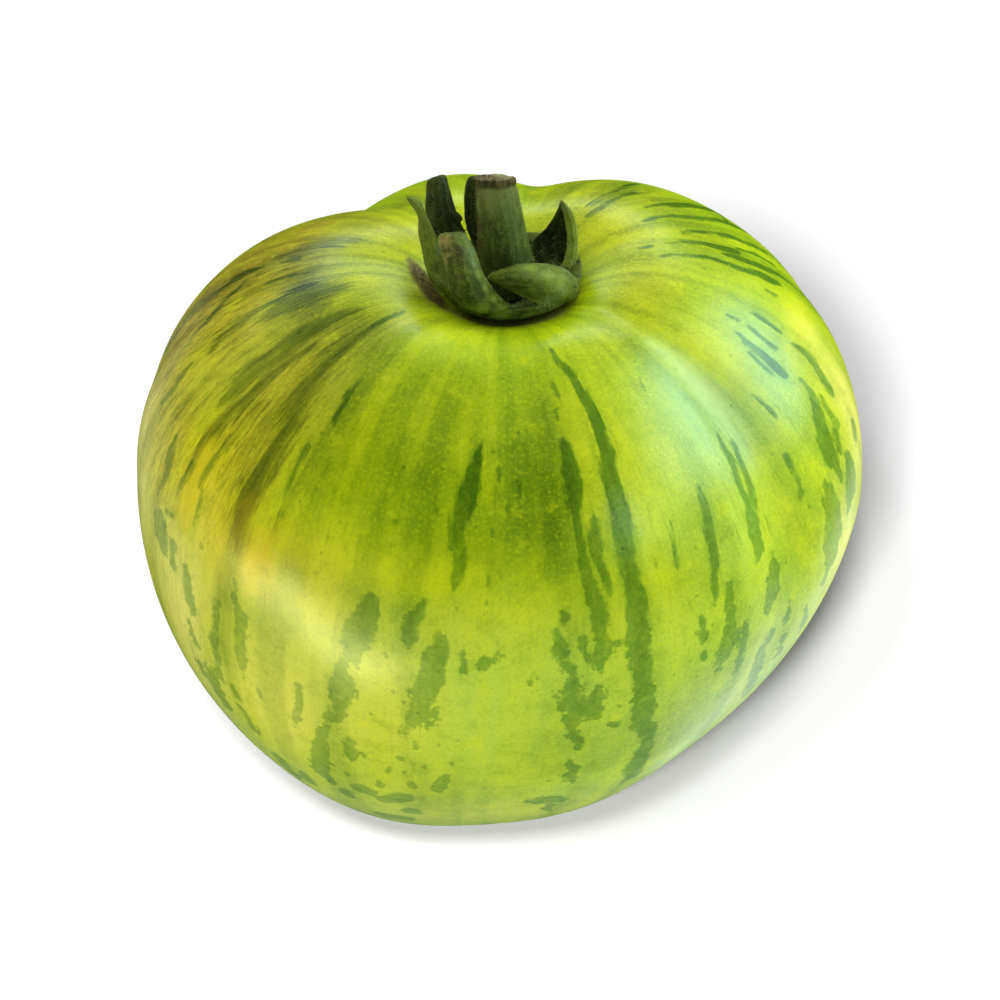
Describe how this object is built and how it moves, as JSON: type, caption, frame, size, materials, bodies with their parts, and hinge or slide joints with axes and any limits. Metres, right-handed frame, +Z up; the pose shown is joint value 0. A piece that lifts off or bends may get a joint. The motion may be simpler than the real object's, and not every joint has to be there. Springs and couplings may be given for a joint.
{
  "type": "green zebra tomato",
  "caption": "Ripe green zebra tomato as picked: a ribbed, striped fruit with a curled green calyx and a cut stub of stalk, resting on its blossom end.",
  "frame": {"origin": "on the flat spot that the fruit rests on, straight under the foot of the stalk", "axes": "+Z up through the stalk, -Y towards the side that the picture shows, +X to its right"},
  "size_m": [0.0719, 0.0709, 0.0704],
  "materials": {
    "skin": "smooth waxy skin, lime green with dark green stripes and a golden blush",
    "sepals": "matt leafy green with fine hairs",
    "stalk": "matt green, brown at the cut"
  },
  "bodies": {
    "root": {"fruit": "skin", "calyx": "sepals", "stem": "stalk"}
  },
  "joints": []
}
